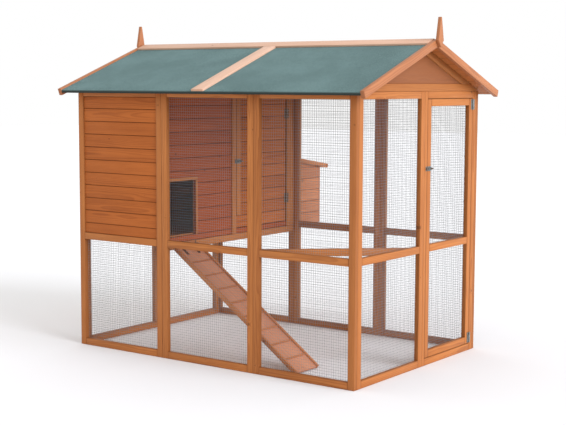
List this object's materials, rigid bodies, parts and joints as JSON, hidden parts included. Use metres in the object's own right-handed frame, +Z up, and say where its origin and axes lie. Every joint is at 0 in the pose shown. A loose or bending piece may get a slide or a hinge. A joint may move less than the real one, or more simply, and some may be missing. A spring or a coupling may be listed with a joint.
{
  "type": "chicken coop",
  "caption": "Timber chicken coop: raised hen house with pop hole, ramp and rear nest box beside and above a wire-covered run with a door, under a felted gable roof.",
  "frame": {"origin": "middle of the plan outline, eaves and nest box included, on the ground plane", "axes": "+X along the front towards the run door end, +Y from the front to the nest box side, +Z up"},
  "size_m": [2.172, 1.756, 1.918],
  "materials": {
    "frame_timber": "stained softwood, matt",
    "cladding": "stained softwood boards, matt",
    "trim_timber": "stained softwood, sunlit and pale, matt",
    "roof_felt": "green mineral-faced roofing felt",
    "wire_mesh": "galvanised welded wire",
    "zinc_fittings": "zinc plated"
  },
  "bodies": {
    "coop": {"front_left_frame": "frame_timber", "front_middle_frame": "frame_timber", "front_right_frame": "frame_timber", "back_left_frame": "frame_timber", "back_middle_frame": "frame_timber", "back_right_frame": "frame_timber", "left_end_frame": "frame_timber", "right_end_frame": "frame_timber", "door_surround": "frame_timber", "front_mesh": "wire_mesh", "back_mesh": "wire_mesh", "left_end_mesh": "wire_mesh", "right_end_mesh": "wire_mesh", "house_front_boards": "cladding", "house_left_boards": "cladding", "house_back_boards": "cladding", "divider_frame": "frame_timber", "divider_boards": "cladding", "pop_hole_trim": "frame_timber", "pop_door_runners": "frame_timber", "house_floor": "cladding", "floor_bearers": "frame_timber", "house_perch": "frame_timber", "perch_rests": "frame_timber", "house_hinge_plates": "zinc_fittings", "bolt_keepers": "zinc_fittings", "run_hinge_plates": "zinc_fittings", "ramp_bar": "zinc_fittings", "nest_walls": "cladding", "nest_floor": "cladding", "nest_partition": "cladding", "nest_hinge_plates": "zinc_fittings", "roof_boards": "cladding", "roof_felt": "roof_felt", "roof_battens": "trim_timber", "ridge_boards": "trim_timber", "ridge_beam": "frame_timber", "bargeboards": "trim_timber", "gable_boards": "cladding", "finials": "trim_timber", "run_perch": "frame_timber"},
    "run_door": {"run_door_frame": "frame_timber", "run_door_mesh": "wire_mesh", "run_hinge_leaves": "zinc_fittings", "run_bolt_body": "zinc_fittings"},
    "run_bolt": {"run_bolt": "zinc_fittings"},
    "house_door": {"house_door_boards": "cladding", "house_door_battens": "frame_timber", "house_hinge_leaves": "zinc_fittings", "house_bolt_body": "zinc_fittings"},
    "house_bolt": {"house_bolt": "zinc_fittings"},
    "pop_door": {"pop_door": "cladding"},
    "nest_lid": {"nest_lid": "cladding", "nest_lid_felt": "roof_felt", "nest_lid_rim": "frame_timber", "nest_hinge_leaves": "zinc_fittings"},
    "ramp": {"ramp_deck": "cladding", "ramp_stringers": "frame_timber", "ramp_cleats": "frame_timber", "ramp_hooks": "zinc_fittings"}
  },
  "joints": [
    {"name": "run_door_hinge", "type": "hinge", "parent": "coop", "child": "run_door", "pos_m": [0.979, 0.4415, 0.76], "axis": [0, 0, 1], "range_deg": [0, 150]},
    {"name": "run_bolt_slide", "type": "slide", "parent": "run_door", "child": "run_bolt", "axis": [0, 1, 0], "range_m": [-0.015, 0]},
    {"name": "house_door_hinge", "type": "hinge", "parent": "coop", "child": "house_door", "pos_m": [-0.327, 0.40225, 1.083], "axis": [0, 0, 1], "range_deg": [0, 95]},
    {"name": "house_bolt_slide", "type": "slide", "parent": "house_door", "child": "house_bolt", "axis": [0, 1, 0], "range_m": [-0.015, 0]},
    {"name": "pop_door_slide", "type": "slide", "parent": "coop", "child": "pop_door", "axis": [0, 1, 0], "range_m": [-0.24, 0]},
    {"name": "nest_lid_hinge", "type": "hinge", "parent": "coop", "child": "nest_lid", "pos_m": [-0.651, 0.5145, 1.09], "axis": [1, 0, 0], "range_deg": [0, 85]},
    {"name": "ramp_hinge", "type": "hinge", "parent": "coop", "child": "ramp", "pos_m": [-0.312, -0.5945, 0.63], "axis": [0, -1, 0], "range_deg": [0, 30]}
  ]
}
